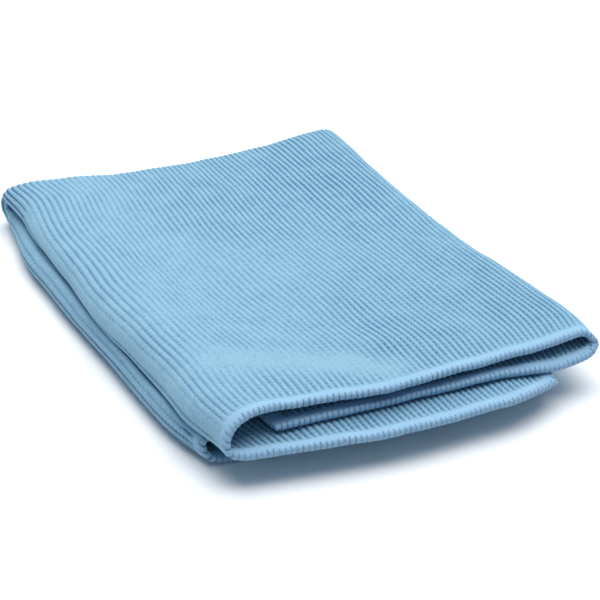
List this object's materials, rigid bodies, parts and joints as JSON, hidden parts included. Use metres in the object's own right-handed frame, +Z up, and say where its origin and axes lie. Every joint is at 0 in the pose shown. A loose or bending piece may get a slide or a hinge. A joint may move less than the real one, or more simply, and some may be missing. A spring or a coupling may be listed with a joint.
{
  "type": "folded microfibre cloth",
  "caption": "Light blue ribbed microfibre cleaning cloth with an overlocked edge, folded in thirds and then in half, lying flat.",
  "frame": {"origin": "centre of the folded cloth's footprint, on the surface it lies on", "axes": "+Y along the ribs from the open front hems to the back fold, +X to the right across the ribs, +Z up out of the top layer"},
  "size_m": [0.1581, 0.228, 0.0212],
  "materials": {
    "microfibre": "matte ribbed knit"
  },
  "bodies": {
    "root": {"cloth": "microfibre"}
  },
  "joints": []
}
